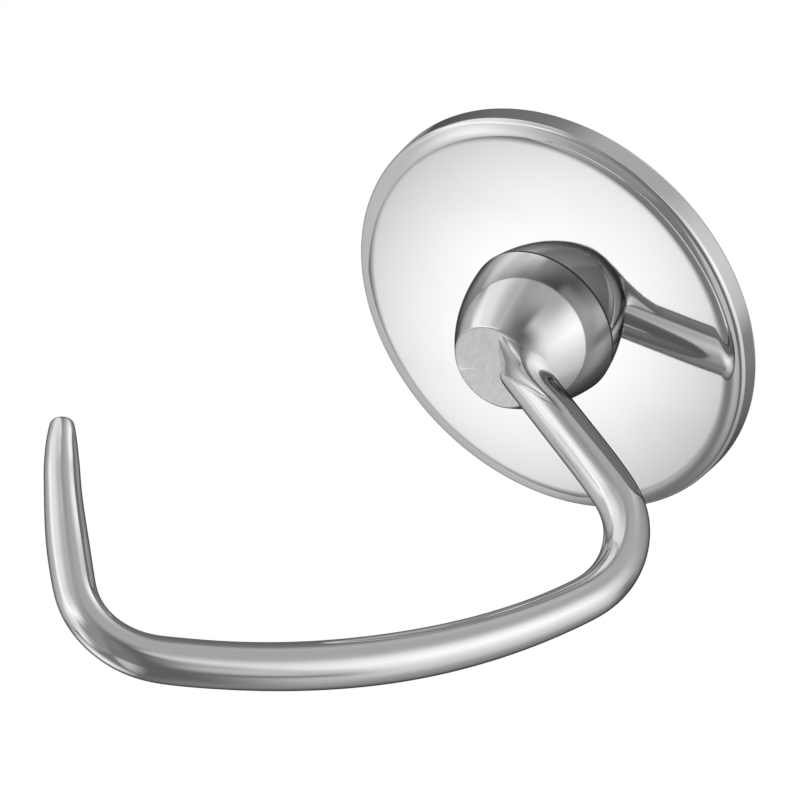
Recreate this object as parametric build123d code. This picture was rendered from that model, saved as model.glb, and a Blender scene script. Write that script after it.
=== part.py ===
from build123d import *
import math
import os

# C-shaped dough hook for a stand mixer: a drive sleeve, a dough shield, a rounded nose boss
# and a tapered round bar bent into an open C, all polished stainless steel.
#
# Frame: millimetres, +Z up towards the mixer head. The origin is on the drive axis, where the
# bore's straight wall starts just inside its mouth. The hook lies in the XZ plane and its arm
# leaves towards +X.

# ---- drive sleeve: the tube that slides on the mixer's shaft ----
bore_radius = 6.45            # for a 12.7 mm shaft
bore_depth = 26.0             # straight wall, from the origin down
sleeve_radius = 11.0
sleeve_floor = 2.0            # solid end below the bore
sleeve_outer_chamfer = 0.8
bore_lead_in = 0.7             # bevel above the straight wall, up to the mouth
slot_width = 5.4              # for a cross pin about 4.8 mm thick
slot_depth = 12.0             # from the origin down to the bottom of the slot
slot_turn = 36.0              # degrees from the entry to the resting place of the pin
slot_entry_azimuth = 180.0    # where the pin goes in, degrees from +X

# ---- dough shield: shallow pressed pan, open upwards ----
shield_sheet = 1.0
shield_flat_radius = 42.4
shield_band_radius = 13.3     # easy curve that starts the rolled edge
shield_band_turn = 16.0       # degrees
shield_corner_radius = 1.3    # tight corner under the skirt, on the outside
shield_corner_turn = 68.0
shield_skirt = 3.9            # straight skirt above the corner, leaning slightly outwards
shield_drop = 20.0            # from the origin down to the shield's underside
rim_edge_round = 0.4

# ---- nose boss under the shield: domed side, flat end ----
boss_seam_radius = 17.4
boss_end_radius = 9.7
boss_height = 18.5
boss_side_radius = 40.0       # of the domed side, in profile
boss_edge_round = 0.7
boss_seam_groove = 0.3        # small bevel that draws the joint line against the shield

# ---- hook bar: straight arm, then tangent arcs that all turn the same way ----
arm_axis_drop = 13.0          # below the shield's underside, where the arm's line meets the axis
arm_slope = 20.9              # degrees below horizontal
arm_start = 2.0               # hidden root, measured along the arm from the axis
arm_length = 28.0             # from the axis to the first bend
bends = [                     # radius of the centreline, degrees turned
    (124.7, 4.5),             # arm, easing into the elbow
    (17.4, 33.1),             # elbow, tight half
    (25.6, 49.3),             # elbow, easy half
    (141.7, 34.7),            # long run, slightly bowed outwards
    (16.0, 77.8),             # bottom bend
    (211.0, 10.0),            # rising tip
]
bar_thickness = [             # length along the bar from its root, diameter there
    (0.0, 9.4),
    (36.0, 9.4),
    (71.0, 8.5),
    (109.0, 9.0),
    (149.0, 8.4),
    (169.0, 7.4),
    (183.0, 7.7),
    (201.0, 6.7),
    (212.0, 5.5),
]
tip_round = 1.3
section_spacing = 4.0         # distance between the circles that the bar is lofted through

# ---- welds ----
root_weld_reach = 2.8         # how far the root weld runs out along the bar
root_weld_bury = 2.4          # how far it runs back into the boss
root_weld_radius = 5.3        # of the bead's round, at the boss
root_weld_lift = 1.0          # the bead's round sits this far above the bar's axis
root_weld_end_radius = 3.5    # where the bead has run out into the bar
root_weld_centre = 11.8       # along the arm from the axis, where the bar leaves the boss
root_weld_hollow = (0.3, 0.35)  # middle of its curved side, as shares of its drop and its reach
sleeve_weld_leg = 2.0
sleeve_weld_hollow = 0.36     # middle of its hollow face, as a share of the leg; 0.5 would be flat

# ---- worked out from the above ----
shield_z = -shield_drop
sleeve_bottom_z = -bore_depth - sleeve_floor
mouth_z = bore_lead_in
boss_bottom_z = shield_z - boss_height
arm_direction = Vector(math.cos(math.radians(arm_slope)), 0, -math.sin(math.radians(arm_slope)))
arm_upward = Vector(-arm_direction.Z, 0, arm_direction.X)
arm_origin = Vector(0, 0, shield_z - arm_axis_drop)


def turned(outline):
    """Solid of revolution about the drive axis from an outline in the XZ plane."""
    return revolve(make_face(outline), Axis.Z)


def bar_centreline():
    """Arm and bends as one tangent path, from the hidden root to the tip."""
    heading = -arm_slope
    start = arm_origin + arm_direction * arm_start
    corner = arm_origin + arm_direction * arm_length
    pieces = [Line((start.X, start.Z), (corner.X, corner.Z))]
    for radius, turn in bends:
        tangent = (math.cos(math.radians(heading)), math.sin(math.radians(heading)))
        pieces.append(JernArc(pieces[-1] @ 1, tangent, radius, -turn))
        heading -= turn
    flat_path = Wire([piece.edge() for piece in pieces])
    return Plane.XZ.location * flat_path


def thickness_at(length):
    """Diameter of the bar at a length from its root, eased between the stated places."""
    for (start, first), (end, last) in zip(bar_thickness, bar_thickness[1:]):
        if length <= end:
            part_way = (length - start) / (end - start)
            eased = part_way * part_way * (3 - 2 * part_way)
            return first + (last - first) * eased
    return bar_thickness[-1][1]


def make_hook_bar():
    path = bar_centreline()
    steps = math.ceil(path.length / section_spacing)
    sections = []
    for step in range(steps + 1):
        centre = path.position_at(step / steps)
        plane = Plane(origin=centre, z_dir=path.tangent_at(step / steps), x_dir=(0, 1, 0))
        sections.append(plane * Circle(thickness_at(path.length * step / steps) / 2))
    return loft(sections) + make_tip_cap(path)


def make_tip_cap(path):
    """Short rounded end on the bar's last circle."""
    end_radius = bar_thickness[-1][1] / 2
    flat_radius = end_radius - tip_round
    corner = tip_round * math.sqrt(0.5)
    rounding = ThreePointArc(
        (end_radius, 0, 0), (flat_radius + corner, 0, corner), (flat_radius, 0, tip_round))
    outline = Polyline((flat_radius, 0, tip_round), (0, 0, tip_round), (0, 0, 0), (end_radius, 0, 0))
    tip_plane = Plane(origin=path @ 1, z_dir=path % 1, x_dir=(0, 1, 0))
    return tip_plane.location * turned(outline + rounding)


def make_nose_dome():
    """The boss before its two sockets are cut."""
    seam_point = Vector(boss_seam_radius, 0, shield_z)
    end_point = Vector(boss_end_radius, 0, boss_bottom_z)
    chord = end_point - seam_point
    rise = boss_side_radius - math.sqrt(boss_side_radius**2 - (chord.length / 2) ** 2)
    outward = Vector(-chord.Z, 0, chord.X).normalized()
    side = ThreePointArc(seam_point, seam_point + chord / 2 + outward * rise, end_point)
    core = Polyline(end_point, (0, 0, boss_bottom_z), (0, 0, shield_z), seam_point)
    dome = turned(core + side)
    end_edge = dome.edges().filter_by(GeomType.CIRCLE).sort_by(Axis.Z)[0]
    dome = fillet(end_edge, boss_edge_round)
    seam_edge = dome.edges().filter_by(GeomType.CIRCLE).sort_by(Axis.Z)[-1]
    return chamfer(seam_edge, boss_seam_groove)


def make_drive_sleeve():
    outline = Polyline(
        (0, 0, sleeve_bottom_z),
        (sleeve_radius, 0, sleeve_bottom_z),
        (sleeve_radius, 0, mouth_z - sleeve_outer_chamfer),
        (sleeve_radius - sleeve_outer_chamfer, 0, mouth_z),
        (bore_radius + bore_lead_in, 0, mouth_z),
        (bore_radius, 0, 0),
        (bore_radius, 0, -bore_depth),
        (0, 0, -bore_depth),
        (0, 0, sleeve_bottom_z),
    )
    return turned(outline) - make_pin_slot()


def make_pin_slot():
    """J-shaped way for the shaft's cross pin: straight down, then round to a rounded end."""
    pin_radius = slot_width / 2
    pin_z = -slot_depth + pin_radius
    reach = 2 * sleeve_radius
    overrun = 1.0
    drop_height = mouth_z + overrun - pin_z
    drop = Pos(reach / 2, 0, pin_z + drop_height / 2) * Box(reach, slot_width, drop_height)
    seat = Pos(reach / 2, 0, pin_z) * Rot(0, 90, 0) * Cylinder(pin_radius, reach)
    from_axis = (Align.NONE, Align.NONE, Align.CENTER)
    turn = Pos(0, 0, pin_z) * Cylinder(reach, slot_width, arc_size=slot_turn, align=from_axis)
    return Rot(0, 0, slot_entry_azimuth) * (drop + seat + turn + Rot(0, 0, slot_turn) * seat)


def pan_surface(inset):
    """Edges of the pressed pan in section, moved in from its outer surface, hole to rim."""
    z = shield_z + inset
    flat = Line((sleeve_radius, z), (shield_flat_radius, z))
    band = JernArc(flat @ 1, flat % 1, shield_band_radius - inset, shield_band_turn)
    corner = JernArc(band @ 1, band % 1, shield_corner_radius - inset, shield_corner_turn)
    skirt = Line(corner @ 1, corner @ 1 + (corner % 1) * shield_skirt)
    return [flat, band, corner, skirt]


def make_shield_disc():
    outer = pan_surface(0)
    inner = pan_surface(shield_sheet)
    closing = [Line(outer[-1] @ 1, inner[-1] @ 1), Line(outer[0] @ 0, inner[0] @ 0)]
    section = make_face([piece.edge() for piece in outer + inner + closing])
    disc = revolve(Plane.XZ.location * section, Axis.Z)
    rim = disc.edges().filter_by(GeomType.CIRCLE).sort_by(Axis.Z)[-2:]
    return fillet(rim, rim_edge_round)


def make_sleeve_weld():
    """Continuous fillet bead where the sleeve comes up through the shield."""
    floor_z = shield_z + shield_sheet
    inner = (sleeve_radius, 0, floor_z)
    out = (sleeve_radius + sleeve_weld_leg, 0, floor_z)
    up = (sleeve_radius, 0, floor_z + sleeve_weld_leg)
    dip = sleeve_weld_hollow * sleeve_weld_leg
    hollow = ThreePointArc(out, (sleeve_radius + dip, 0, floor_z + dip), up)
    return turned(Polyline(up, inner, out) + hollow)


def make_root_weld(bar, dome):
    """Bead on the shield side of the joint between bar and boss, run out into the bar."""
    back = -root_weld_bury
    drop_share, reach_share = root_weld_hollow
    hollow_radius = root_weld_end_radius + drop_share * (root_weld_radius - root_weld_end_radius)
    hollow = ThreePointArc(
        (root_weld_radius, 0, 0),
        (hollow_radius, 0, reach_share * root_weld_reach),
        (root_weld_end_radius, 0, root_weld_reach),
    )
    core = Polyline(
        (root_weld_end_radius, 0, root_weld_reach),
        (0, 0, root_weld_reach),
        (0, 0, back),
        (root_weld_radius, 0, back),
        (root_weld_radius, 0, 0),
    )
    centre = arm_origin + arm_direction * root_weld_centre + arm_upward * root_weld_lift
    bead_plane = Plane(origin=centre, z_dir=arm_direction)
    return bead_plane.location * turned(core + hollow) - bar - dome


def write(name, solid):
    solid.label = name
    export_step(solid, f"parts/{name}.step")


os.makedirs("parts", exist_ok=True)
hook_bar = make_hook_bar()
nose_dome = make_nose_dome()
drive_sleeve = make_drive_sleeve()
sleeve_socket = Cylinder(sleeve_radius, -sleeve_bottom_z, align=(Align.CENTER, Align.CENTER, Align.MAX))
write("hook_bar", hook_bar)
write("nose_boss", nose_dome - sleeve_socket - hook_bar)
write("root_weld", make_root_weld(hook_bar, nose_dome))
write("shield_disc", make_shield_disc())
write("drive_sleeve", drive_sleeve)
write("sleeve_weld", make_sleeve_weld())
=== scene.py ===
import bpy
import numpy as np
from math import asin, atan2, cos, hypot, pi, radians, sin, sqrt, tau
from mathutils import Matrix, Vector


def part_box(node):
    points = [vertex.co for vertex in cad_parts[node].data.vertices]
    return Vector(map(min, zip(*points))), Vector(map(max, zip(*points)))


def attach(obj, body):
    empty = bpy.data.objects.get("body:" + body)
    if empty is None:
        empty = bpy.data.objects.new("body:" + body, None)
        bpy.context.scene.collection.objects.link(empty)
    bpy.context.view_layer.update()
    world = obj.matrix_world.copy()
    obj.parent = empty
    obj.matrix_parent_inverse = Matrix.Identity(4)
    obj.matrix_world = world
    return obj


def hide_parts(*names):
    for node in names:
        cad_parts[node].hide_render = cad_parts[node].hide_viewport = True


print("loading the packed frame")
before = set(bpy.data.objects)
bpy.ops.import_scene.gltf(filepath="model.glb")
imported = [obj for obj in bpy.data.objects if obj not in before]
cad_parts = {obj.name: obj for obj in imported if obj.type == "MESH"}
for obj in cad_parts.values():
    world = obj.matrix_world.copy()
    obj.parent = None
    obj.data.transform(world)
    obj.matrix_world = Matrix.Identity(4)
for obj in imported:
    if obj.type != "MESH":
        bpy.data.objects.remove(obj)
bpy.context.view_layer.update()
mm = 0.001


def startClean():
    if bpy.context.mode != "OBJECT":
        bpy.ops.object.mode_set(mode="OBJECT")
    bpy.ops.object.select_all(action="DESELECT")


def follow(points, heading, radius, turn, count):
    # adds an arc to an outline of (radius, height) pairs; a positive turn goes left
    x, z = points[-1]
    side = 1 if turn > 0 else -1
    cx, cz = x - side * radius * sin(heading), z + side * radius * cos(heading)
    for k in range(1, count + 1):
        h = heading + turn * k / count
        points.append((cx + side * radius * sin(h), cz - side * radius * cos(h)))
    return heading + turn


def goOn(points, heading, *lengths):
    # straight runs along the heading, one after the other
    for length in lengths:
        x, z = points[-1]
        points.append((x + length * cos(heading), z + length * sin(heading)))


def spinOutline(name, points, steps, closed=True):
    # a turned piece: one corner is walked round the outline, then spun about the drive axis
    startClean()
    bpy.ops.mesh.primitive_plane_add(size=mm, location=(points[0][0], 0, points[0][1]))
    piece = bpy.context.object
    piece.name = piece.data.name = name
    bpy.ops.object.mode_set(mode="EDIT")
    bpy.ops.mesh.select_all(action="SELECT")
    bpy.ops.mesh.merge(type="CENTER")
    path = points + points[:1] if closed else points
    for (x0, z0), (x1, z1) in zip(path, path[1:]):
        bpy.ops.mesh.extrude_region_move(TRANSFORM_OT_translate={"value": (x1 - x0, 0, z1 - z0)})
    bpy.ops.mesh.select_all(action="SELECT")
    bpy.ops.mesh.spin(steps=steps, angle=tau, center=(0, 0, 0), axis=(0, 0, 1))
    bpy.ops.mesh.select_all(action="SELECT")
    bpy.ops.mesh.remove_doubles(threshold=0.002 * mm)
    bpy.ops.mesh.normals_make_consistent(inside=False)
    bpy.ops.object.mode_set(mode="OBJECT")
    bpy.ops.object.transform_apply(location=True, rotation=True, scale=True)
    return piece


def useModifier(piece, kind, **settings):
    # adds a modifier and applies it at once
    startClean()
    piece.select_set(True)
    bpy.context.view_layer.objects.active = piece
    added = piece.modifiers.new(kind.title(), kind)
    for key, value in settings.items():
        setattr(added, key, value)
    bpy.ops.object.modifier_apply(modifier=added.name)


def pointOutwards(piece):
    startClean()
    piece.select_set(True)
    bpy.context.view_layer.objects.active = piece
    bpy.ops.object.mode_set(mode="EDIT")
    bpy.ops.mesh.select_all(action="SELECT")
    bpy.ops.mesh.normals_make_consistent(inside=False)
    bpy.ops.object.mode_set(mode="OBJECT")


def smooth(piece, angle=35):
    startClean()
    piece.select_set(True)
    bpy.context.view_layer.objects.active = piece
    bpy.ops.object.shade_smooth_by_angle(angle=radians(angle))


def settle(piece, node):
    # the piece stands for its CAD node and moves with the whole hook
    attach(piece, "root")
    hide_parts(node)


camera = {"place": (0.079724, -0.301003, -0.336096), "turn": (142.2547, -33.5817, -19.1738), "lens": 93.96}

bpy.ops.object.camera_add(location=camera["place"], rotation=[radians(a) for a in camera["turn"]])
lookingAt = bpy.context.object
lookingAt.name = "studioCamera"
lookingAt.data.lens = camera["lens"]
lookingAt.data.sensor_width = 36
bpy.context.scene.camera = lookingAt
bpy.context.scene.view_settings.view_transform = "Standard"


print("dough shield")
panLow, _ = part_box("shield_disc")
pan = {
    "hole": 11.0 * mm,
    "flat": 42.4 * mm,       # radius of the flat
    "sheet": 1.0 * mm,
    "bandRadius": 13.3 * mm,
    "bandTurn": 16,
    "cornerRadius": 1.3 * mm,
    "cornerTurn": 68,
    "skirt": 3.9 * mm,
    "rimRound": 0.4 * mm,
    "flatRuns": (7 * mm, 12 * mm),       # the flat is split here, counted out from the hole
    # short runs beside the bends keep the shading of the straight ones even
    "flatShort": 0.6 * mm,
    "skirtShort": 0.4 * mm,
    "steps": 288,
}


def makePan(p, underside):
    t, edge = p["sheet"], p["rimRound"]
    points = [(p["hole"], underside)]
    flat = p["flat"] - p["hole"] - p["flatShort"]
    skirt = (p["skirtShort"], p["skirt"] - edge - 2 * p["skirtShort"], p["skirtShort"])
    goOn(points, 0, *p["flatRuns"], flat - sum(p["flatRuns"]), p["flatShort"])
    h = follow(points, 0, p["bandRadius"], radians(p["bandTurn"]), 14)
    h = follow(points, h, p["cornerRadius"], radians(p["cornerTurn"]), 16)
    goOn(points, h, *skirt)
    h = follow(points, h, edge, radians(90), 8)
    goOn(points, h, t - 2 * edge)
    h = follow(points, h, edge, radians(90), 8)
    goOn(points, h, *skirt)
    h = follow(points, h, p["cornerRadius"] - t, radians(-p["cornerTurn"]), 10)
    h = follow(points, h, p["bandRadius"] - t, radians(-p["bandTurn"]), 10)
    goOn(points, h, p["flatShort"], flat)
    return spinOutline("shieldDisc", points, p["steps"])


shieldDisc = makePan(pan, panLow.z)
smooth(shieldDisc)
settle(shieldDisc, "shield_disc")


print("nose boss")
bossLow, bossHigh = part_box("nose_boss")
boss = {
    "seam": 17.4 * mm,       # radius where it meets the shield
    "end": 9.7 * mm,
    "side": 40.0 * mm,       # radius of the domed side in profile
    "edgeRound": 0.7 * mm,
    "groove": 0.3 * mm,
    "seamGap": 0.01 * mm,    # the boss stops this far short of the shield
    "socket": (11.0 * mm, 8.0 * mm),     # radius and depth of the hole for the sleeve
    "endShort": 0.4 * mm,    # short run on the flat end, beside its rounded edge
    "endRing": 4.0 * mm,     # radius of one more ring there
    "steps": 192,
}


def sideMiddle(p, top, bottom):
    # middle of the arc that the domed side follows in profile
    chord = Vector((p["end"] - p["seam"], bottom - top))
    out = Vector((-chord.y, chord.x)).normalized()
    return Vector((p["seam"], top)) + chord / 2 - out * sqrt(p["side"] ** 2 - (chord.length / 2) ** 2)


def makeBoss(p, top, bottom):
    middle = sideMiddle(p, top, bottom)
    start = asin((top - p["groove"] - middle.y) / p["side"])
    edgeZ = bottom + p["edgeRound"]
    edgeX = middle.x + sqrt((p["side"] - p["edgeRound"]) ** 2 - (edgeZ - middle.y) ** 2)
    stop = atan2(edgeZ - middle.y, edgeX - middle.x)
    radius, depth = p["socket"]
    points = [(0, top - depth), (radius, top - depth), (radius, top - p["seamGap"])]
    first = (middle.x + p["side"] * cos(start), middle.y + p["side"] * sin(start))
    points.append((first[0] - p["groove"], top - p["seamGap"]))
    points.append(first)
    follow(points, start - pi / 2, p["side"], stop - start, 40)
    follow(points, stop - pi / 2, p["edgeRound"], -pi / 2 - stop, 10)
    points[-1] = (points[-1][0], bottom)
    points += [(points[-1][0] - p["endShort"], bottom), (p["endRing"], bottom), (0, bottom)]
    return spinOutline("noseBoss", points, p["steps"], closed=False)


noseBoss = makeBoss(boss, bossHigh.z, bossLow.z)
smooth(noseBoss, 40)
settle(noseBoss, "nose_boss")


print("hook bar")
bar = {
    "axisDrop": 13.0 * mm,       # below the shield, where the arm's line meets the drive axis
    "slope": 20.9,
    "start": 2.0 * mm,
    "armLength": 28.0 * mm,
    # radius in mm and degrees turned
    "bends": [(124.7, 4.5), (17.4, 33.1), (25.6, 49.3), (141.7, 34.7), (16.0, 77.8), (211.0, 10.0)],
    # length from the root and diameter there, in mm
    "thickness": [(0, 9.4), (36, 9.4), (71, 8.5), (109, 9.0), (149, 8.4), (169, 7.4), (183, 7.7),
                  (201, 6.7), (208, 5.95), (212, 4.7)],
    "tipRound": 1.3 * mm,
    "tipRings": [(0.3, 0.94), (0.2, 0.84), (0.1, 0.72), (0.03, 0.6)],   # advance and shrink of each ring
    "sides": 24,
    "spacing": 2.4 * mm,
}


def thicknessAt(p, length):
    # diameter at a length from the root, eased between the stated places
    for (a, first), (b, last) in zip(p["thickness"], p["thickness"][1:]):
        if length <= b * mm:
            t = (length / mm - a) / (b - a)
            return (first + (last - first) * t * t * (3 - 2 * t)) * mm
    return p["thickness"][-1][1] * mm


def barStations(p, shieldZ):
    # middle, heading and length from the root, at every ring of the bar
    h = -radians(p["slope"])
    away = Vector((cos(h), 0, sin(h)))
    origin = Vector((0, 0, shieldZ - p["axisDrop"]))
    stations, length = [], 0
    steps = round((p["armLength"] - p["start"]) / p["spacing"])
    for k in range(steps + 1):
        s = p["start"] + (p["armLength"] - p["start"]) * k / steps
        stations.append((origin + away * s, h, s - p["start"]))
    for radius, turn in p["bends"]:
        place, h, length = stations[-1]
        r, a = radius * mm, radians(turn)
        centre = place + Vector((sin(h), 0, -cos(h))) * r
        steps = max(2, round(r * a / p["spacing"]))
        for k in range(1, steps + 1):
            g = h - a * k / steps
            stations.append((centre - Vector((sin(g), 0, -cos(g))) * r, g, length + r * a * k / steps))
    return stations


def makeBar(p, shieldZ):
    stations = barStations(p, shieldZ)
    fullness = 3 / (2 + cos(tau / p["sides"]))       # a subdivided ring shrinks by this much
    middle, heading, _ = stations[0]
    radius = thicknessAt(p, 0) / 2
    startClean()
    bpy.ops.mesh.primitive_circle_add(vertices=p["sides"], radius=radius * fullness, fill_type="NGON",
                                      location=middle, rotation=(0, pi / 2 - heading, 0))
    piece = bpy.context.object
    piece.name = piece.data.name = "hookBar"
    bpy.ops.object.transform_apply(location=True, rotation=True, scale=True)
    bpy.ops.object.mode_set(mode="EDIT")
    bpy.ops.mesh.select_all(action="SELECT")
    for nextPlace, nextHeading, length in stations[1:]:
        nextRadius = thicknessAt(p, length) / 2
        bpy.ops.mesh.extrude_region_move(TRANSFORM_OT_translate={"value": nextPlace - middle})
        if abs(nextHeading - heading) > 1e-7:
            bpy.ops.transform.rotate(value=nextHeading - heading, orient_axis="Y", center_override=nextPlace)
        ratio = nextRadius / radius
        bpy.ops.transform.resize(value=(ratio, ratio, ratio), center_override=nextPlace)
        middle, heading, radius = nextPlace, nextHeading, nextRadius
    ahead = Vector((cos(heading), 0, sin(heading)))
    for step, ratio in p["tipRings"]:
        middle = middle + ahead * step * p["tipRound"]
        bpy.ops.mesh.extrude_region_move(TRANSFORM_OT_translate={"value": ahead * step * p["tipRound"]})
        bpy.ops.transform.resize(value=(ratio, ratio, ratio), center_override=middle)
    bpy.ops.mesh.poke()
    bpy.ops.object.mode_set(mode="OBJECT")
    useModifier(piece, "SUBSURF", levels=2, render_levels=2)
    return piece, stations


hookBar, barLine = makeBar(bar, panLow.z)
smooth(hookBar, 60)
settle(hookBar, "hook_bar")


print("root weld")
root = {
    "onBar": (-178, 16),     # from the bar's lowest line to just over its top, degrees round the bar
    "onBoss": (-108, 6),     # the same two ends on the boss, degrees round the drive axis
    "climb": 6.5 * mm,       # how far up the boss's side the blend reaches at its upper end
    "climbEase": 1.3,        # above 1, so it stays low at first
    "runOut": 11 * mm,       # how far it runs out along the bar in its middle
    "runOutEase": (0.08, 1.2),           # where the run-out's swell starts, and how peaked it is
    "lip": 0.5 * mm,         # and at least this far everywhere
    "foot": 0.15 * mm,       # its start on the boss, above the flat end
    "hold": 0.42,            # how long the curve keeps each surface's direction, as a share of its span
    "fadeIn": 0.35,          # share of the rows over which it rises from the flat end
    "startLean": 0.25,       # first handle of the curve before it rises, as a share of its span
    "barPull": (0.5, 0.45),  # second handle, as shares of the hold and of the run-out
    "deep": (2.5 * mm, 2.2 * mm),        # hidden middle: this far back along the bar and under its surface
    "sunk": 0.04 * mm,       # its thin edges lie this far under both surfaces
    # small lumps left by grinding: place along and across the blend, half sizes, height in mm
    "lumps": [(0.80, 0.45, 0.035, 0.20, 0.22), (0.86, 0.62, 0.03, 0.16, 0.26), (0.92, 0.40, 0.03, 0.2, 0.22),
              (0.72, 0.60, 0.04, 0.16, 0.12), (0.97, 0.55, 0.03, 0.2, 0.16)],
    "lumpLean": 0.4,         # their direction: out from the bar, and this much along it
    "rows": 150,
    "back": 10,              # hidden rows that close the piece inside the bar
    "backSize": 0.12,        # their size, as a share of the last row's
    "across": 30,
    "faceShare": 0.72,       # of the points across, those on the outer face
}


def bossSide(p, turn, z, top, bottom, sunk):
    # a point on the boss's domed side and the way down along it
    middle = sideMiddle(p, top, bottom)
    lean = asin((z - middle.y) / p["side"])
    reach = middle.x + p["side"] * cos(lean) - sunk
    outward = Vector((cos(turn), sin(turn), 0))
    return outward * reach + Vector((0, 0, z)), outward * sin(lean) - Vector((0, 0, cos(lean)))


def makeRootWeld(p, shape, line, top, bottom):
    origin, heading, _ = line[0]
    away = Vector((cos(heading), 0, sin(heading)))
    up, radius = Vector((-away.z, 0, away.x)), bar["thickness"][0][1] / 2 * mm
    startClean()
    # a closed ring, whose points are then laid row by row
    bpy.ops.mesh.primitive_torus_add(major_segments=p["rows"] + p["back"], minor_segments=p["across"],
                                     major_radius=8 * mm, minor_radius=2 * mm)
    piece = bpy.context.object
    piece.name = piece.data.name = "rootWeld"

    def inside(point):
        return point.z > bottom and hypot(point.x, point.y) < bossSide(shape, 0, point.z, top, bottom, 0)[0].x

    def row(t):
        # outline of the blend's section, from the boss over to the bar and back underneath
        angle = radians(p["onBar"][0] + (p["onBar"][1] - p["onBar"][0]) * t)
        out = up * cos(angle) + Vector((0, 1, 0)) * sin(angle)
        start = origin + out * (radius - p["sunk"])
        near, far = 0.0, 30 * mm
        for _ in range(30):      # halves the gap round the place where this line comes out of the boss
            half = (near + far) / 2
            near, far = (half, far) if inside(start + away * half) else (near, half)
        begin, peak = p["runOutEase"]
        swell = sin(pi * min(1, begin + (1 - begin) * t)) ** peak if t < 1 else 0   # nothing at the top
        onBar = start + away * (near + p["lip"] + p["runOut"] * swell)
        turn = radians(p["onBoss"][0] + (p["onBoss"][1] - p["onBoss"][0]) * t)
        rise = p["foot"] + p["climb"] * t ** p["climbEase"]
        onBoss, down = bossSide(shape, turn, bottom + rise, top, bottom, p["sunk"])
        pull = (onBar - onBoss).length * p["hold"]
        grow = min(1, t / p["fadeIn"])
        first = onBoss + down * pull * grow + (onBar - onBoss) * p["startLean"] * (1 - grow)
        second = onBar - away * (pull * p["barPull"][0] + p["runOut"] * swell * p["barPull"][1])
        deep = start + away * (near - p["deep"][0]) - out * p["deep"][1]
        places = []
        for m in range(p["across"]):
            u = m / p["across"] / p["faceShare"]
            if u <= 1:
                v = 1 - u
                place = onBoss * v ** 3 + first * 3 * v * v * u + second * 3 * v * u * u + onBar * u ** 3
                for along, over, wide, deepness, height in p["lumps"]:
                    fall = ((t - along) / wide) ** 2 + ((u - over) / deepness) ** 2
                    place = place + (out + away * p["lumpLean"]) * height * mm * max(0, 1 - fall) ** 2
            else:
                v = (m / p["across"] - p["faceShare"]) / (1 - p["faceShare"])
                place = onBar * (1 - v) ** 2 + deep * 2 * v * (1 - v) + onBoss * v ** 2
            places.append(place)
        return places, deep

    rows = [row(k / (p["rows"] - 1)) for k in range(p["rows"])]
    firstDeep, lastDeep = rows[0][1], rows[-1][1]
    for k in range(p["back"]):
        t = (k + 1) / (p["back"] + 1)
        middle = lastDeep.lerp(firstDeep, t)
        shapeThere = [a.lerp(b, t) for a, b in zip(rows[-1 - k][0], rows[0][0])]
        rows.append(([middle + (place - middle) * p["backSize"] for place in shapeThere], middle))
    for k, (places, _) in enumerate(rows):
        for m, place in enumerate(places):
            piece.data.vertices[k * p["across"] + m].co = place
    pointOutwards(piece)
    return piece


rootWeld = makeRootWeld(root, boss, barLine, bossHigh.z, bossLow.z)
smooth(rootWeld, 60)
settle(rootWeld, "root_weld")


print("drive sleeve")
sleeveLow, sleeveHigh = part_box("drive_sleeve")
sleeve = {
    "bore": 6.45 * mm,
    "boreDepth": 26.0 * mm,
    "leadIn": 0.7 * mm,
    "outerBevel": 0.8 * mm,
    "slotWidth": 5.4 * mm,
    "slotDepth": 12.0 * mm,
    "slotEntry": 180,        # degrees from +X
    "slotTurn": 36,
    "slotEdge": 0.18 * mm,   # bevel on the slot's edges
    "overrun": 2.0 * mm,     # the slot's cutter reaches this far above the mouth
    # cutters a hair thinner than the slot, so no faces coincide
    "pinTrim": 0.9995,
    "wedgeTrim": 0.999,
    "wedgeReach": 0.8,       # the wedge ends short of the round cutters
    "upperRing": 4.0 * mm,   # ring on the outer wall, this far below the mouth
    "steps": 180,
}


def cutAway(piece, cutter):
    # takes the cutter's shape out of the piece
    useModifier(piece, "BOOLEAN", operation="DIFFERENCE", solver="EXACT", object=cutter)
    startClean()
    cutter.select_set(True)
    bpy.ops.object.delete()


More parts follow.
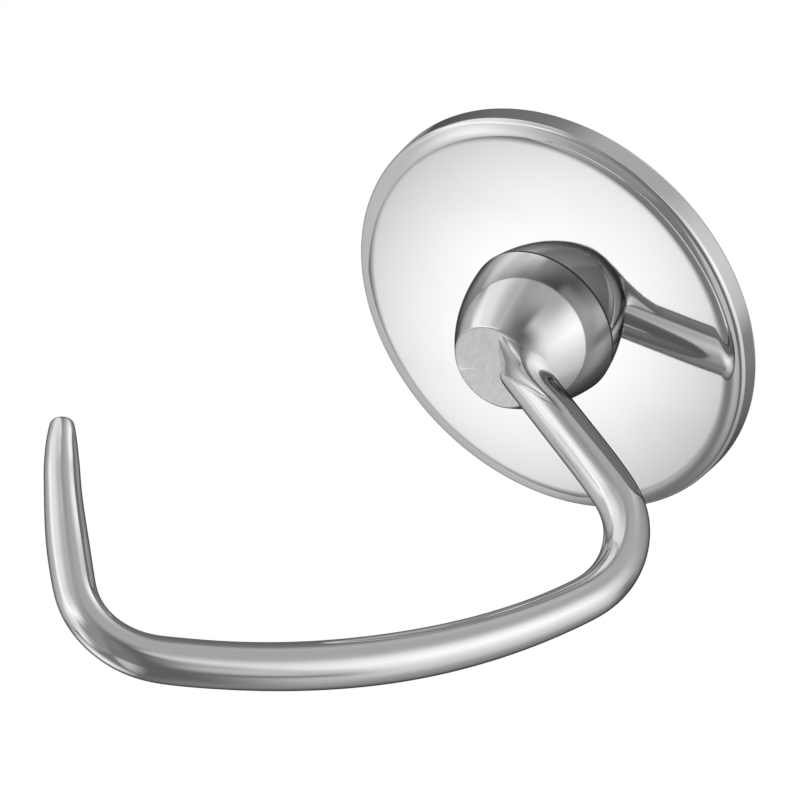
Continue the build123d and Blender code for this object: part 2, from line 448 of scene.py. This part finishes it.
def makeSleeve(p, low, high):
    outer, top, bottom = high.x, high.z, low.z
    points = [(0, bottom), (outer, bottom), (outer, top - p["upperRing"])]
    points.append((outer, top - p["outerBevel"]))
    points += [(outer - p["outerBevel"], top), (p["bore"] + p["leadIn"], top), (p["bore"], top - p["leadIn"])]
    points += [(p["bore"], -p["boreDepth"]), (0, -p["boreDepth"])]
    piece = spinOutline("driveSleeve", points, p["steps"])
    half = p["slotWidth"] / 2
    pinZ = half - p["slotDepth"]
    reach = 2 * outer
    entry = radians(p["slotEntry"])
    turn = radians(p["slotTurn"])
    drop = top + p["overrun"] - pinZ
    startClean()
    bpy.ops.mesh.primitive_cube_add(size=1, location=(reach / 2 * cos(entry), 0, pinZ + drop / 2),
                                    scale=(reach, p["slotWidth"], drop))
    cutAway(piece, bpy.context.object)
    for angle in (entry, entry + turn):
        startClean()
        bpy.ops.mesh.primitive_cylinder_add(vertices=48, radius=half * p["pinTrim"], depth=reach,
                                            location=(reach / 2 * cos(angle), reach / 2 * sin(angle), pinZ),
                                            rotation=(0, pi / 2, angle))
        cutAway(piece, bpy.context.object)
    startClean()
    away = Vector((cos(entry), sin(entry), 0))
    bpy.ops.mesh.primitive_plane_add(size=1, location=away * reach / 2 + Vector((0, 0, pinZ)),
                                     rotation=(pi / 2, 0, entry))
    wedge = bpy.context.object
    bpy.ops.object.mode_set(mode="EDIT")
    bpy.ops.mesh.select_all(action="SELECT")
    bpy.ops.transform.resize(value=(reach * p["wedgeReach"], 1, p["slotWidth"] * p["wedgeTrim"]))
    bpy.ops.mesh.spin(steps=12, angle=-turn, center=(0, 0, 0), axis=(0, 0, 1))
    bpy.ops.mesh.select_all(action="SELECT")
    bpy.ops.mesh.normals_make_consistent(inside=False)
    bpy.ops.object.mode_set(mode="OBJECT")
    cutAway(piece, wedge)
    useModifier(piece, "BEVEL", width=p["slotEdge"], segments=2, limit_method="ANGLE",
                angle_limit=radians(40))
    return piece


driveSleeve = makeSleeve(sleeve, sleeveLow, sleeveHigh)
smooth(driveSleeve, 30)
settle(driveSleeve, "drive_sleeve")


print("sleeve weld")
weldLow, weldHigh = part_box("sleeve_weld")
bead = {
    "hollow": 0.36,          # middle of the face, as a share of the leg
    "ripples": 64,
    "ripple": 0.09 * mm,     # height of one ripple
    "phases": 6,             # steps from one ripple to the next
    "toe": 0.12 * mm,        # room left for the ripples inside the bead's size
    "faceRuns": 9,           # straight runs across its face
    "still": 0.1 * mm,       # no ripples this close to the sleeve or the shield
}


def makeSleeveWeld(p, low, high):
    leg = high.z - low.z
    inner = high.x - leg
    points = [(inner, low.z), (high.x - p["toe"], low.z)]
    a, b, m = Vector((high.x - p["toe"], low.z)), Vector((inner, high.z - p["toe"])), p["hollow"] * leg
    middle = Vector((inner + m, low.z + m))
    for k in range(1, p["faceRuns"]):
        t = k / p["faceRuns"]
        points.append(tuple(a * (1 - t) ** 2 + (middle * 2 - (a + b) / 2) * 2 * t * (1 - t) + b * t ** 2))
    points.append((inner, high.z - p["toe"]))
    phases = p["phases"]
    piece = spinOutline("sleeveWeld", points, p["ripples"] * phases)
    bpy.ops.object.mode_set(mode="EDIT")
    bpy.ops.mesh.select_all(action="DESELECT")
    bpy.ops.object.mode_set(mode="OBJECT")
    for phase in range(1, phases):
        # each ripple rises slowly and drops off at its end
        for v in piece.data.vertices:
            step = round(atan2(v.co.y, v.co.x) / tau * p["ripples"] * phases) % phases
            onFace = v.co.z > low.z + p["still"] and hypot(v.co.x, v.co.y) > inner + p["still"]
            v.select = onFace and step == phase
        bpy.ops.object.mode_set(mode="EDIT")
        bpy.ops.transform.shrink_fatten(value=-p["ripple"] * phase / phases)
        bpy.ops.object.mode_set(mode="OBJECT")
    return piece


sleeveWeld = makeSleeveWeld(bead, weldLow, weldHigh)
smooth(sleeveWeld, 50)
settle(sleeveWeld, "sleeve_weld")


def wrapBar(piece, stations):
    # position round and along the bar, for marks that run with it
    line, between, batch = [], 4, 4000       # places between two stations, vertices handled at once
    for (a, h0, s0), (b, h1, s1) in zip(stations, stations[1:]):
        for k in range(between):
            t = k / between
            line.append((*a.lerp(b, t), h0 + (h1 - h0) * t, s0 + (s1 - s0) * t))
    line.append((*stations[-1][0], *stations[-1][1:]))
    line = np.array(line)
    points = np.empty(len(piece.data.vertices) * 3, np.float32)
    piece.data.vertices.foreach_get("co", points)
    points = points.reshape(-1, 3)
    nearest = np.empty(len(points), int)
    for start in range(0, len(points), batch):
        gap = points[start:start + batch, None, :] - line[None, :, :3]
        nearest[start:start + batch] = (gap ** 2).sum(2).argmin(1)
    gap = points - line[nearest, :3]
    heading = line[nearest, 3]
    under = gap[:, 0] * np.sin(heading) - gap[:, 2] * np.cos(heading)
    wrapped = np.stack([under, gap[:, 1], line[nearest, 4]], 1).astype(np.float32)
    mark = piece.data.attributes.new("barWrap", "FLOAT_VECTOR", "POINT")
    mark.data.foreach_set("vector", wrapped.ravel())


wrapBar(hookBar, barLine)


print("finishes")


def newGroup(name, inputs, outputs):
    group = bpy.data.node_groups.new(name, "ShaderNodeTree")
    for title, kind, value in inputs:
        socket = group.interface.new_socket(name=title, in_out="INPUT", socket_type=kind)
        if value is not None:
            socket.default_value = value
    for title, kind in outputs:
        group.interface.new_socket(name=title, in_out="OUTPUT", socket_type=kind)
    return group, group.nodes.new("NodeGroupInput"), group.nodes.new("NodeGroupOutput")


def addNode(tree, kind, values=None, **settings):
    node = tree.nodes.new(kind)
    for key, value in settings.items():
        setattr(node, key, value)
    for key, value in (values or {}).items():
        node.inputs[key].default_value = value
    return node


def plug(tree, value, socket):
    # a value is either another node's output or a plain number
    if isinstance(value, bpy.types.NodeSocket):
        tree.links.new(value, socket)
    elif value is not None:
        socket.default_value = value


def mathNode(tree, operation, first, second=None, clamp=False):
    node = addNode(tree, "ShaderNodeMath", operation=operation, use_clamp=clamp)
    plug(tree, first, node.inputs[0])
    plug(tree, second, node.inputs[1])
    return node.outputs[0]


def fadeNode(tree, value, low, high, atLow=0.0, atHigh=1.0, kind="SMOOTHSTEP"):
    # goes from one result to the other as the value goes from low to high
    node = addNode(tree, "ShaderNodeMapRange", interpolation_type=kind)
    for key, entry in (("Value", value), ("From Min", low), ("From Max", high), ("To Min", atLow),
                       ("To Max", atHigh)):
        plug(tree, entry, node.inputs[key])
    return node.outputs["Result"]


def makeFineLines():
    # polishing lines: noise drawn out by the stretch given
    group, given, result = newGroup(
        "fineLines",
        [("Vector", "NodeSocketVector", None), ("Stretch", "NodeSocketVector", (1, 1, 1)),
         ("Detail", "NodeSocketFloat", 4.0)],
        [("Height", "NodeSocketFloat"), ("Mask", "NodeSocketFloat")])
    scale = addNode(group, "ShaderNodeVectorMath", operation="MULTIPLY")
    group.links.new(given.outputs["Vector"], scale.inputs[0])
    group.links.new(given.outputs["Stretch"], scale.inputs[1])
    noise = addNode(group, "ShaderNodeTexNoise", {"Scale": 1.0, "Roughness": 0.62})
    group.links.new(scale.outputs[0], noise.inputs["Vector"])
    group.links.new(given.outputs["Detail"], noise.inputs["Detail"])
    group.links.new(noise.outputs["Fac"], result.inputs["Height"])
    group.links.new(fadeNode(group, noise.outputs["Fac"], 0.35, 0.7), result.inputs["Mask"])
    return group


def makeHandling():
    # soft wiped patches and a few stray scratches
    group, given, result = newGroup(
        "handlingMarks",
        [("Vector", "NodeSocketVector", None), ("Patch Scale", "NodeSocketFloat", 60.0),
         ("Scratch Scale", "NodeSocketFloat", 300.0)],
        [("Haze", "NodeSocketFloat"), ("Scratches", "NodeSocketFloat")])
    patch = addNode(group, "ShaderNodeTexNoise", {"Detail": 3.0, "Roughness": 0.55, "Distortion": 0.4})
    group.links.new(given.outputs["Vector"], patch.inputs["Vector"])
    group.links.new(given.outputs["Patch Scale"], patch.inputs["Scale"])
    haze = fadeNode(group, patch.outputs["Fac"], 0.4, 0.75)
    cells = addNode(group, "ShaderNodeTexVoronoi", {"Randomness": 1.0}, feature="DISTANCE_TO_EDGE")
    group.links.new(given.outputs["Vector"], cells.inputs["Vector"])
    group.links.new(given.outputs["Scratch Scale"], cells.inputs["Scale"])
    line = fadeNode(group, cells.outputs["Distance"], 0.0, 0.012, 1.0, 0.0, kind="LINEAR")
    group.links.new(haze, result.inputs["Haze"])
    group.links.new(mathNode(group, "MULTIPLY", line, haze, clamp=True), result.inputs["Scratches"])
    return group


def makeEdgeRubAndHollowShade():
    # edges rubbed a little brighter, and hollows painted a little darker as painted shade
    group, given, result = newGroup(
        "edgeRubAndHollowShade",
        [("Reach", "NodeSocketFloat", 0.03)],
        [("Edge", "NodeSocketFloat"), ("Hollow", "NodeSocketFloat")])
    shape = addNode(group, "ShaderNodeNewGeometry")
    for title, sign in (("Edge", 1), ("Hollow", -1)):
        bend = mathNode(group, "SUBTRACT", shape.outputs["Pointiness"], 0.5)
        bend = mathNode(group, "MULTIPLY", bend, sign)
        amount = mathNode(group, "DIVIDE", bend, given.outputs["Reach"], clamp=True)
        group.links.new(amount, result.inputs[title])
    return group


fineLines, handlingMarks, edgeRubAndHollowShade = makeFineLines(), makeHandling(), makeEdgeRubAndHollowShade()
rubStrength = 0.8        # how far a rubbed edge goes to its brighter colour


def makeSteel(name, look):
    # polished or ground steel; every value that varies comes from the shared groups
    steel = bpy.data.materials.new(name)
    steel.use_nodes = True
    tree = steel.node_tree
    shader = tree.nodes["Principled BSDF"]
    shader.inputs["Metallic"].default_value = 1.0
    shader.inputs["Specular Tint"].default_value = (*[look["rimTint"]] * 3, 1)     # thin darker outline
    if look["wrap"] == "barWrap":
        source = addNode(tree, "ShaderNodeAttribute", attribute_name="barWrap").outputs["Vector"]
    else:
        source = addNode(tree, "ShaderNodeTexCoord").outputs["Object"]
    if look["wrap"] == "rings":
        # radius and height about the drive axis, so that the lines run as turning marks
        split = addNode(tree, "ShaderNodeSeparateXYZ")
        tree.links.new(source, split.inputs[0])
        flat = addNode(tree, "ShaderNodeCombineXYZ")
        tree.links.new(split.outputs["X"], flat.inputs["X"])
        tree.links.new(split.outputs["Y"], flat.inputs["Y"])
        length = addNode(tree, "ShaderNodeVectorMath", operation="LENGTH")
        tree.links.new(flat.outputs[0], length.inputs[0])
        join = addNode(tree, "ShaderNodeCombineXYZ")
        tree.links.new(length.outputs["Value"], join.inputs["X"])
        tree.links.new(split.outputs["Z"], join.inputs["Y"])
        lineSource = join.outputs[0]
    else:
        lineSource = source
    lines = addNode(tree, "ShaderNodeGroup", node_tree=fineLines)
    lines.inputs["Stretch"].default_value = look["stretch"]
    lines.inputs["Detail"].default_value = look["detail"]
    tree.links.new(lineSource, lines.inputs["Vector"])
    marks = addNode(tree, "ShaderNodeGroup", node_tree=handlingMarks)
    marks.inputs["Patch Scale"].default_value = look["patch"]
    marks.inputs["Scratch Scale"].default_value = look["scratch"]
    tree.links.new(source, marks.inputs["Vector"])
    rubAndHollowShade = addNode(tree, "ShaderNodeGroup", node_tree=edgeRubAndHollowShade)
    rubAndHollowShade.inputs["Reach"].default_value = look["rubReach"]

    # colour: bare steel, duller in wiped patches, darker in hollows as painted shade, brighter on rubbed
    # edges
    tint = addNode(tree, "ShaderNodeMix", data_type="RGBA", blend_type="MIX")
    tint.inputs["A"].default_value = (*look["colour"], 1)
    tint.inputs["B"].default_value = (*look["hazeAndShadeColour"], 1)

    def share(effect, amount):
        return mathNode(tree, "MULTIPLY", effect, look[amount])

    # painted shade: the hollow mask darkens the colour, as the hazed patches do
    hazeAndHollowShade = mathNode(tree, "MAXIMUM", share(marks.outputs["Haze"], "haze"),
                        share(rubAndHollowShade.outputs["Hollow"], "hollow"))
    tree.links.new(mathNode(tree, "MINIMUM", hazeAndHollowShade, 1.0), tint.inputs["Factor"])
    edge = addNode(tree, "ShaderNodeMix", data_type="RGBA", blend_type="MIX")
    edge.inputs["B"].default_value = (*look["bright"], 1)
    tree.links.new(tint.outputs["Result"], edge.inputs["A"])
    tree.links.new(mathNode(tree, "MULTIPLY", rubAndHollowShade.outputs["Edge"], rubStrength), edge.inputs["Factor"])
    tree.links.new(edge.outputs["Result"], shader.inputs["Base Color"])

    # roughness: fine lines, patches and scratches on the plain value
    rough = mathNode(tree, "MULTIPLY_ADD", lines.outputs["Mask"], look["lineRough"])
    rough.node.inputs[2].default_value = look["rough"]
    rough = mathNode(tree, "ADD", rough, share(marks.outputs["Haze"], "hazeRough"))
    rough = mathNode(tree, "ADD", rough, share(marks.outputs["Scratches"], "scratchRough"))
    rough = mathNode(tree, "ADD", rough, share(rubAndHollowShade.outputs["Hollow"], "hollowRough"), clamp=True)
    tree.links.new(rough, shader.inputs["Roughness"])

    # relief: the same lines and scratches, very shallow
    height = mathNode(tree, "SUBTRACT", lines.outputs["Height"],
                      share(marks.outputs["Scratches"], "scratchDepth"))
    bump = addNode(tree, "ShaderNodeBump", {"Strength": look["bump"], "Distance": look["bumpDepth"]})
    tree.links.new(height, bump.inputs["Height"])
    tree.links.new(bump.outputs["Normal"], shader.inputs["Normal"])
    return steel


# in each look, the darker colour serves both the hazed patches and the painted shade in hollows; the hollow
# share sets how strong that painted shade is
looks = {
    "mirrorSheet": {      # dough shield, both faces
        "wrap": "rings", "stretch": (2600, 2600, 1), "detail": 3, "patch": 45, "scratch": 160,
        "rimTint": 0.3,
        "colour": (0.87, 0.87, 0.875), "hazeAndShadeColour": (0.80, 0.80, 0.81), "bright": (0.92, 0.92, 0.92),
        "haze": 0.4, "hollow": 0.3, "rubReach": 0.05, "rough": 0.03, "lineRough": 0.02, "hazeRough": 0.03,
        "scratchRough": 0.05, "hollowRough": 0.1, "scratchDepth": 0.2, "bump": 0.05, "bumpDepth": 0.00002},
    "polishedBoss": {
        "wrap": "rings", "stretch": (1800, 1800, 1), "detail": 3, "patch": 70, "scratch": 220,
        "rimTint": 0.12,
        "colour": (0.86, 0.86, 0.865), "hazeAndShadeColour": (0.76, 0.76, 0.77), "bright": (0.93, 0.93, 0.93),
        "haze": 0.4, "hollow": 0.5, "rubReach": 0.05, "rough": 0.045, "lineRough": 0.03, "hazeRough": 0.04,
        "scratchRough": 0.06, "hollowRough": 0.15, "scratchDepth": 0.2, "bump": 0.05, "bumpDepth": 0.00002},
    "polishedBar": {
        "wrap": "barWrap", "stretch": (900, 900, 25), "detail": 5, "patch": 60, "scratch": 200,
        "rimTint": 0.12,
        "colour": (0.86, 0.86, 0.865), "hazeAndShadeColour": (0.76, 0.76, 0.77), "bright": (0.92, 0.92, 0.92),
        "haze": 0.4, "hollow": 0.4, "rubReach": 0.06, "rough": 0.05, "lineRough": 0.05, "hazeRough": 0.04,
        "scratchRough": 0.06, "hollowRough": 0.1, "scratchDepth": 0.2, "bump": 0.08, "bumpDepth": 0.00003},
    "turnedSleeve": {
        "wrap": "rings", "stretch": (5000, 5000, 1), "detail": 6, "patch": 80, "scratch": 260,
        "rimTint": 0.5,
        "colour": (0.74, 0.74, 0.745), "hazeAndShadeColour": (0.62, 0.62, 0.63), "bright": (0.88, 0.88, 0.88),
        "haze": 0.5, "hollow": 0.8, "rubReach": 0.05, "rough": 0.2, "lineRough": 0.12, "hazeRough": 0.08,
        "scratchRough": 0.08, "hollowRough": 0.2, "scratchDepth": 0.4, "bump": 0.3, "bumpDepth": 0.00004},
    "groundEnd": {        # flat end of the boss
        "wrap": "object", "stretch": (1500, 260, 260), "detail": 6, "patch": 90, "scratch": 300,
        "rimTint": 0.3,
        "colour": (0.64, 0.64, 0.645), "hazeAndShadeColour": (0.60, 0.60, 0.61), "bright": (0.86, 0.86, 0.86),
        "haze": 0.4, "hollow": 0.6, "rubReach": 0.05, "rough": 0.27, "lineRough": 0.06, "hazeRough": 0.04,
        "scratchRough": 0.02, "hollowRough": 0.15, "scratchDepth": 0.02, "bump": 0.03, "bumpDepth": 0.00001},
    "grooveShadePaint": {        # painted shade: near-black colour in the groove between boss and shield, standing in for its shadow
        "wrap": "object", "stretch": (900, 900, 900), "detail": 5, "patch": 120, "scratch": 300,
        "rimTint": 0.3,
        "colour": (0.12, 0.12, 0.12), "hazeAndShadeColour": (0.05, 0.05, 0.05), "bright": (0.3, 0.3, 0.3),
        "haze": 0.7, "hollow": 0.8, "rubReach": 0.05, "rough": 0.5, "lineRough": 0.1, "hazeRough": 0.1,
        "scratchRough": 0.05, "hollowRough": 0.1, "scratchDepth": 0.2, "bump": 0.3, "bumpDepth": 0.00004},
    "blendedRoot": {      # weld ground away and polished with the boss
        "wrap": "object", "stretch": (700, 700, 700), "detail": 4, "patch": 130, "scratch": 300,
        "rimTint": 0.3,
        "colour": (0.84, 0.84, 0.845), "hazeAndShadeColour": (0.66, 0.66, 0.67), "bright": (0.92, 0.92, 0.92),
        "haze": 0.5, "hollow": 0.6, "rubReach": 0.06, "rough": 0.07, "lineRough": 0.06, "hazeRough": 0.06,
        "scratchRough": 0.05, "hollowRough": 0.12, "scratchDepth": 0.2, "bump": 0.25, "bumpDepth": 0.00005},
    "groundWeld": {
        "wrap": "object", "stretch": (1400, 1400, 1400), "detail": 6, "patch": 160, "scratch": 400,
        "rimTint": 0.3,
        "colour": (0.70, 0.70, 0.705), "hazeAndShadeColour": (0.5, 0.5, 0.51), "bright": (0.86, 0.86, 0.86),
        "haze": 0.6, "hollow": 0.8, "rubReach": 0.06, "rough": 0.22, "lineRough": 0.15, "hazeRough": 0.12,
        "scratchRough": 0.05, "hollowRough": 0.2, "scratchDepth": 0.2, "bump": 0.35, "bumpDepth": 0.00005},
}
steels = {name: makeSteel(name, look) for name, look in looks.items()}


def wear(piece, steel):
    piece.data.materials.clear()
    piece.data.materials.append(steels[steel])


def wearPart(piece, steel, wanted):
    # another finish on the faces whose middle is wanted
    piece.data.materials.append(steels[steel])
    for face in piece.data.polygons:
        if wanted(face.center):
            face.material_index = len(piece.data.materials) - 1


wear(shieldDisc, "mirrorSheet")
wear(noseBoss, "polishedBoss")
wear(hookBar, "polishedBar")
wear(driveSleeve, "turnedSleeve")
wear(sleeveWeld, "groundWeld")
wear(rootWeld, "blendedRoot")
wearPart(noseBoss, "groundEnd", lambda at: at.z < bossLow.z + 0.05 * mm)
# painted shade: the groove's faces take the near-black finish
wearPart(noseBoss, "grooveShadePaint",
         lambda at: at.z > bossHigh.z - boss["groove"] and hypot(at.x, at.y) > boss["socket"][0])


print("studio")
studio = {
    "floor": -0.45,          # height of the floor
    "floorSize": 8.0,
    "floorTones": (0.84, 0.87),          # its two greys
    "backdrop": 1.0,         # white behind the hook
    "fill": 0.206,           # light from everywhere else
    # soft boxes round the hook: middle longitude and latitude, half width, half height, edge (degrees), light
    "fills": [
        ("overhead", 276.3, 72.3, 33, 26.4, 34, 1.531),
        ("rightFade", 35.5, -23, 36.4, 61.4, 7.2, 0.546),
        ("underFill", 181.2, -62.1, 67.7, 46, 7.9, 0.29),
    ],
    # dark flag that runs round below the key: middle of the arc, its tilt, half width, edge, light
    "lowFlag": (353.4, -50.2, 0.277, 0.158, 0.13),
    "flagEnds": 0.2,         # softness of its two ends
    "boxes": [
        ("keyWide", 325.7, 22.1, 54.3, 39.8, 6.6, 0.675),
        ("keyCore", 321.1, 11.4, 17.9, 30.5, 30.5, 1.232),
        ("leftStrip", 203.4, -4.2, 24.8, 37.4, 6.2, 0.867),
        ("leftGlow", 152.9, -24.6, 28.4, 33, 13.1, 1.334),
        ("backGlow", 119.8, 42.3, 18.8, 15.7, 4.5, 1.548),
        ("backFlag", 129.7, -13.7, 41.8, 34.4, 7.1, 0.569),
        ("backFade", 50.4, 10, 28.9, 28.8, 23.9, 0.329),
        ("frontFade", 264.2, 20.9, 25.5, 28.1, 15, 0.434),
        ("darkStrip", 43.6, 40.2, 48.2, 5.4, 10.2, 0.032),
        ("topFade", 30.3, 75.1, 115.6, 34.7, 24.5, 0.38),
        ("sideFade", 82.4, 19.8, 22, 22.8, 12.1, 0.246),
        ("lowBand", 182.9, -40.4, 32.7, 8.9, 9.4, 1.194),
        ("lowCore", 200.7, -29, 8.6, 10.8, 8.2, 0.822),
        ("lowFade", 160.5, -52, 9.8, 18, 19.7, 0.639),
        ("keyFoot", 331.4, -26.9, 12.6, 7.2, 7.8, 0.596),
        ("frontEdge", 223.8, -3.4, 13.2, 23.4, 12.9, 0.495),
    ],
    # card that the shield's mirror looks into
    "card": {"place": (-0.055, 0.200, -0.235), "size": 0.19, "light": 1.14, "rimLight": 0.22,
             "fade": (0.02, 0.123)},     # radii between which the light falls off
    # lamp over the floor: strength and angle in degrees
    "wash": (2.6, 70),
}


def makeSoftBox():
    # mask of one soft-edged box, in degrees of longitude and latitude
    group, given, result = newGroup(
        "softBox",
        [("Direction", "NodeSocketVector", None), ("Longitude", "NodeSocketFloat", 0.0),
         ("Latitude", "NodeSocketFloat", 0.0), ("Half Width", "NodeSocketFloat", 20.0),
         ("Half Height", "NodeSocketFloat", 20.0), ("Edge", "NodeSocketFloat", 5.0)],
        [("Mask", "NodeSocketFloat")])
    split = addNode(group, "ShaderNodeSeparateXYZ")
    group.links.new(given.outputs["Direction"], split.inputs[0])
    around = mathNode(group, "ARCTAN2", split.outputs["Y"], split.outputs["X"])
    around = mathNode(group, "MULTIPLY", around, 180 / pi)       # degrees
    above = mathNode(group, "MULTIPLY", mathNode(group, "ARCSINE", split.outputs["Z"]), 180 / pi)
    turned = addNode(group, "ShaderNodeMath", {1: 180.0, 2: -180.0}, operation="WRAP")
    group.links.new(mathNode(group, "SUBTRACT", around, given.outputs["Longitude"]), turned.inputs[0])
    raised = mathNode(group, "SUBTRACT", above, given.outputs["Latitude"])
    sides = []
    for offset, half in ((turned.outputs[0], "Half Width"), (raised, "Half Height")):
        start = mathNode(group, "SUBTRACT", given.outputs[half], given.outputs["Edge"])
        end = mathNode(group, "ADD", given.outputs[half], given.outputs["Edge"])
        sides.append(fadeNode(group, mathNode(group, "ABSOLUTE", offset), start, end, 1.0, 0.0))
    group.links.new(mathNode(group, "MULTIPLY", *sides), result.inputs["Mask"])
    return group


def towards(longitude, latitude):
    # unit direction
    a, b = radians(longitude), radians(latitude)
    return Vector((cos(a) * cos(b), sin(a) * cos(b), sin(b)))


def makeWorld(p):
    world = bpy.data.worlds.new("studioWorld")
    bpy.context.scene.world = world
    world.use_nodes = True
    tree = world.node_tree
    background = tree.nodes["Background"]
    softBox = makeSoftBox()
    direction = addNode(tree, "ShaderNodeTexCoord").outputs["Generated"]

    def blend(below, mask, light):
        mix = addNode(tree, "ShaderNodeMix", {"B": light})
        plug(tree, below, mix.inputs["A"])
        tree.links.new(mask, mix.inputs["Factor"])
        return mix.outputs["Result"]

    def hang(light, boxes):
        # each box covers what was there before it
        for name, turn, height, width, rise, soft, strength in boxes:
            box = addNode(tree, "ShaderNodeGroup", node_tree=softBox, name=name)
            for key, value in (("Longitude", turn), ("Latitude", height), ("Half Width", width),
                               ("Half Height", rise), ("Edge", soft)):
                box.inputs[key].default_value = value
            tree.links.new(direction, box.inputs["Direction"])
            light = blend(light, box.outputs["Mask"], strength)
        return light

    def facing(aim):
        dot = addNode(tree, "ShaderNodeVectorMath", {1: aim}, operation="DOT_PRODUCT")
        tree.links.new(direction, dot.inputs[0])
        return dot.outputs["Value"]

    longitude, latitude, half, edge, flagLight = p["lowFlag"]
    across = mathNode(tree, "ABSOLUTE", facing(towards(longitude, latitude + 90)))
    band = fadeNode(tree, across, half - edge, half + edge, 1.0, 0.0)
    ends = p["flagEnds"]
    front = fadeNode(tree, facing(towards(longitude, latitude)), -ends, ends)      # half of the ring only
    light = hang(p["fill"], p["fills"])
    light = blend(light, mathNode(tree, "MULTIPLY", band, front), flagLight)
    light = hang(light, p["boxes"])
    seen = addNode(tree, "ShaderNodeLightPath").outputs["Is Camera Ray"]
    light = blend(light, seen, p["backdrop"])
    tree.links.new(light, background.inputs["Color"])


makeWorld(studio)


def makeFloor(p):
    startClean()
    bpy.ops.mesh.primitive_plane_add(size=p["floorSize"], location=(0, 0, p["floor"]))
    floor = bpy.context.object
    floor.name = "paleFloor"
    floor.visible_glossy = False
    paint = bpy.data.materials.new("palePaint")
    paint.use_nodes = True
    tree = paint.node_tree
    shader = tree.nodes["Principled BSDF"]
    shader.inputs["Roughness"].default_value = 0.8
    speckle = addNode(tree, "ShaderNodeTexNoise", {"Scale": 3.0, "Detail": 2.0})
    mix = addNode(tree, "ShaderNodeMix", data_type="RGBA")
    for key, tone in zip("AB", p["floorTones"]):
        mix.inputs[key].default_value = (tone, tone, tone, 1)
    tree.links.new(speckle.outputs["Fac"], mix.inputs["Factor"])
    tree.links.new(mix.outputs["Result"], shader.inputs["Base Color"])
    floor.data.materials.append(paint)
    bpy.ops.object.light_add(type="SUN", rotation=(0.1, 0.05, 0))
    wash = bpy.context.object
    wash.name = "floorWash"
    energy, spread = p["wash"]
    wash.data.energy = energy
    wash.data.angle = radians(spread)
    wash.visible_glossy = False


def makeCard(p):
    place = Vector(p["place"])
    facing = (Vector((0, 0, panLow.z)) - place).to_track_quat("Z", "Y").to_euler()
    startClean()
    bpy.ops.mesh.primitive_plane_add(size=p["size"], location=place, rotation=facing)
    card = bpy.context.object
    card.name = "shieldCard"
    card.visible_camera = False
    card.visible_shadow = False
    card.visible_diffuse = False
    glow = bpy.data.materials.new("cardGlow")
    glow.use_nodes = True
    tree = glow.node_tree
    tree.nodes.remove(tree.nodes["Principled BSDF"])
    light = addNode(tree, "ShaderNodeEmission")
    tree.links.new(light.outputs[0], tree.nodes["Material Output"].inputs["Surface"])
    middle = addNode(tree, "ShaderNodeTexCoord").outputs["Object"]
    away = addNode(tree, "ShaderNodeVectorMath", operation="LENGTH")
    tree.links.new(middle, away.inputs[0])
    fade = fadeNode(tree, away.outputs["Value"], *p["fade"], p["light"], p["rimLight"])
    tree.links.new(fade, light.inputs["Strength"])
    card.data.materials.append(glow)


makeFloor(studio)
makeCard(studio["card"])
